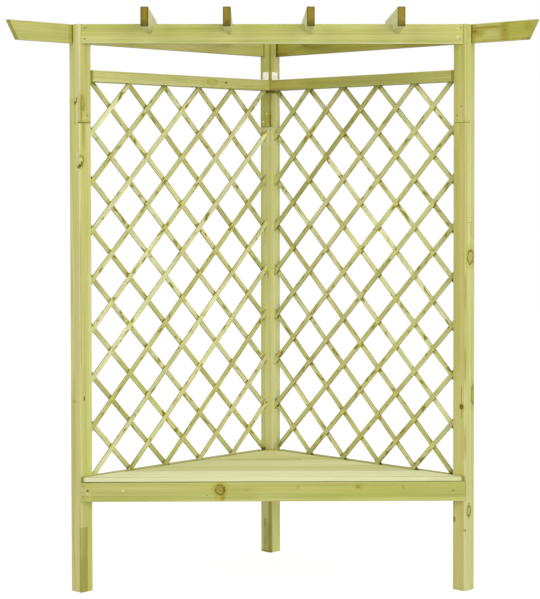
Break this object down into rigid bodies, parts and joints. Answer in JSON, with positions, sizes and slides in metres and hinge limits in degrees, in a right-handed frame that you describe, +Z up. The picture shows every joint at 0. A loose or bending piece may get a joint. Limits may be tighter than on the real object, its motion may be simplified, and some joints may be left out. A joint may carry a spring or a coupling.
{
  "type": "arbour seat",
  "caption": "Corner arbour seat in treated pine: posts at three corners, diamond trellis walls, a boarded seat and notched rafters over a front beam.",
  "frame": {"origin": "on the ground, under the middle of the whole arbour's box", "axes": "+Z up, -Y towards the open front, +X to the right as seen from the front"},
  "size_m": [1.8384, 0.9694, 2.06],
  "materials": {
    "post_pine": "planed, pressure-treated, yellow-green",
    "beam_pine": "planed, pressure-treated, yellow-green",
    "trellis_pine": "sawn and planed, pressure-treated",
    "seat_pine": "planed, pressure-treated, pale yellow-green",
    "galvanised_steel": "galvanised",
    "screw_steel": "zinc plated"
  },
  "bodies": {
    "root": {"post_back_lower": "post_pine", "post_back_upper": "post_pine", "post_left_lower": "post_pine", "post_left_upper": "post_pine", "post_right_lower": "post_pine", "post_right_upper": "post_pine", "side_beam_left": "beam_pine", "side_beam_right": "beam_pine", "front_beam": "beam_pine", "rafter_1": "beam_pine", "rafter_2": "beam_pine", "rafter_3": "beam_pine", "rafter_4": "beam_pine", "trellis_rail_top_left": "trellis_pine", "trellis_rail_top_right": "trellis_pine", "trellis_rail_low_left": "trellis_pine", "trellis_rail_low_right": "trellis_pine", "trellis_lattice_left": "trellis_pine", "trellis_lattice_right": "trellis_pine", "seat_board_1": "seat_pine", "seat_board_2": "seat_pine", "seat_board_3": "seat_pine", "seat_board_4": "seat_pine", "seat_board_5": "seat_pine", "seat_board_6": "seat_pine", "seat_apron": "seat_pine", "seat_bearer_left": "seat_pine", "seat_bearer_right": "seat_pine", "bracket_top_left": "galvanised_steel", "bracket_top_right": "galvanised_steel", "bracket_low_left": "galvanised_steel", "bracket_low_right": "galvanised_steel", "screw_splice_back_1": "screw_steel", "screw_splice_back_2": "screw_steel", "screw_splice_left_1": "screw_steel", "screw_splice_left_2": "screw_steel", "screw_splice_right_1": "screw_steel", "screw_splice_right_2": "screw_steel", "screw_front_beam_left_1": "screw_steel", "screw_front_beam_left_2": "screw_steel", "screw_front_beam_right_1": "screw_steel", "screw_front_beam_right_2": "screw_steel", "screw_apron_left": "screw_steel", "screw_apron_right": "screw_steel", "screw_rafter_front_1": "screw_steel", "screw_rafter_front_2": "screw_steel", "screw_rafter_front_3": "screw_steel", "screw_rafter_front_4": "screw_steel", "screw_rafter_rear_1": "screw_steel", "screw_rafter_rear_2": "screw_steel", "screw_rafter_rear_3": "screw_steel", "screw_rafter_rear_4": "screw_steel", "screw_bracket_top_left_rail": "screw_steel", "screw_bracket_top_left_post": "screw_steel", "screw_bracket_top_right_rail": "screw_steel", "screw_bracket_top_right_post": "screw_steel", "screw_bracket_low_left_rail": "screw_steel", "screw_bracket_low_left_post": "screw_steel", "screw_bracket_low_right_rail": "screw_steel", "screw_bracket_low_right_post": "screw_steel"}
  },
  "joints": []
}
